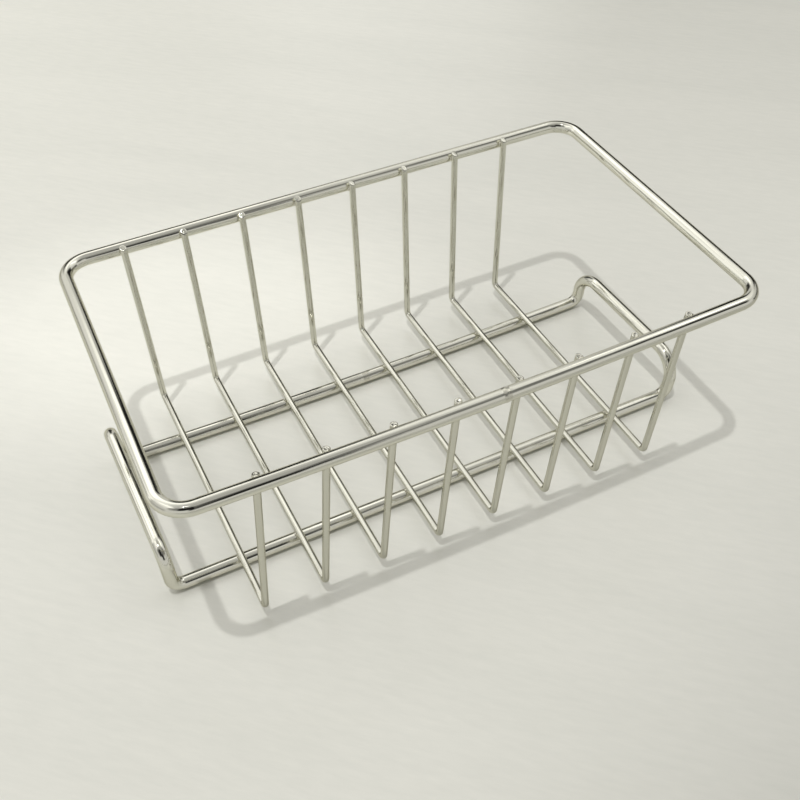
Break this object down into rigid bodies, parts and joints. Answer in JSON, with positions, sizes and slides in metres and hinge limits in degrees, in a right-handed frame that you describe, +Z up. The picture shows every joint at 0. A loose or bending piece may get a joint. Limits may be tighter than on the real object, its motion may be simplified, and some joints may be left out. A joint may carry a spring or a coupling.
{
  "type": "sink organizer rack",
  "caption": "Open stainless steel wire basket with a rounded rim, U-shaped cross wires and a bent wire base with raised ends, for brushes and sponges beside a sink",
  "frame": {"origin": "on the surface the rack stands on, under the middle of its bounding box", "axes": "+X along the rack's long side, -Y its front, +Z up"},
  "size_m": [0.2355, 0.1396, 0.0882],
  "materials": {
    "frame_wire": "polished stainless steel wire",
    "rib_wire": "polished stainless steel wire",
    "weld": "pickled weld metal, slightly dull"
  },
  "bodies": {
    "root": {"rim_loop": "frame_wire", "base_frame": "frame_wire", "rib_1": "rib_wire", "rib_2": "rib_wire", "rib_3": "rib_wire", "rib_4": "rib_wire", "rib_5": "rib_wire", "rib_6": "rib_wire", "rib_7": "rib_wire", "rib_8": "rib_wire", "front_rim_weld_1": "weld", "front_rim_weld_2": "weld", "front_rim_weld_3": "weld", "front_rim_weld_4": "weld", "front_rim_weld_5": "weld", "front_rim_weld_6": "weld", "front_rim_weld_7": "weld", "front_rim_weld_8": "weld", "back_rim_weld_1": "weld", "back_rim_weld_2": "weld", "back_rim_weld_3": "weld", "back_rim_weld_4": "weld", "back_rim_weld_5": "weld", "back_rim_weld_6": "weld", "back_rim_weld_7": "weld", "back_rim_weld_8": "weld", "front_base_weld_1": "weld", "front_base_weld_2": "weld", "front_base_weld_3": "weld", "front_base_weld_4": "weld", "front_base_weld_5": "weld", "front_base_weld_6": "weld", "front_base_weld_7": "weld", "front_base_weld_8": "weld", "back_base_weld_1": "weld", "back_base_weld_2": "weld", "back_base_weld_3": "weld", "back_base_weld_4": "weld", "back_base_weld_5": "weld", "back_base_weld_6": "weld", "back_base_weld_7": "weld", "back_base_weld_8": "weld", "rim_butt_weld": "weld", "base_butt_weld": "weld"}
  },
  "joints": []
}
